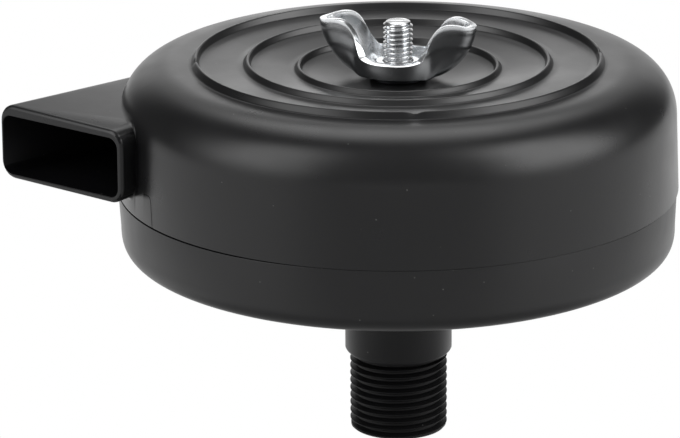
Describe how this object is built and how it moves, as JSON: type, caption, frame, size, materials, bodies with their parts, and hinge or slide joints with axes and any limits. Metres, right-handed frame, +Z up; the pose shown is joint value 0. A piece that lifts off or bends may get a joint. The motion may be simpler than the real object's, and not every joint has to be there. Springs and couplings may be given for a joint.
{
  "type": "pneumatic muffler",
  "caption": "Round black intake muffler and filter with a tangential rectangular inlet duct, threaded outlet spigot, centre stud and pressed wing nut.",
  "frame": {"origin": "centre of the spigot's end face, on the body's axis", "axes": "+Z up along the body's axis towards the wing nut, -Y is the way the inlet mouth faces, +X away from the duct's outer side"},
  "size_m": [0.0976, 0.095, 0.0731],
  "materials": {
    "cover_plastic": "satin black moulded plastic",
    "base_plastic": "satin black moulded plastic",
    "zinc_steel": "bright zinc plated steel",
    "dull_steel": "plain zinc plated steel",
    "filter_paper": "pleated filter paper",
    "filter_end_ring": "soft cast end ring",
    "core_metal": "perforated galvanised sheet"
  },
  "bodies": {
    "base": {"base_housing": "base_plastic", "stud_spider": "base_plastic", "center_stud": "zinc_steel", "stud_nut_upper": "dull_steel", "stud_nut_lower": "dull_steel", "stud_washer_upper": "dull_steel", "stud_washer_lower": "dull_steel"},
    "filter": {"filter_paper": "filter_paper", "filter_top_ring": "filter_end_ring", "filter_bottom_ring": "filter_end_ring", "filter_core": "core_metal"},
    "cover": {"top_cover": "cover_plastic"},
    "washer": {"nut_washer": "dull_steel"},
    "wing_nut": {"wing_nut": "zinc_steel"}
  },
  "joints": [
    {"name": "cover_lift", "type": "slide", "parent": "base", "child": "cover", "axis": [0, 0, 1], "range_m": [0, 0.036]},
    {"name": "filter_lift", "type": "slide", "parent": "base", "child": "filter", "axis": [0, 0, 1], "range_m": [0, 0.018]},
    {"name": "nut_travel", "type": "slide", "parent": "cover", "child": "washer", "axis": [0, 0, 1], "range_m": [0, 0.0112]},
    {"name": "nut_turn", "type": "hinge", "parent": "washer", "child": "wing_nut", "pos_m": [0, 0, 0.063], "axis": [0, 0, 1], "range_deg": [0, 5040]}
  ],
  "couplings": [
    {"joint": "filter_lift", "follows": "cover_lift", "ratio": 0.5},
    {"joint": "nut_travel", "follows": "nut_turn", "m_per_rad": 0.00012732}
  ]
}
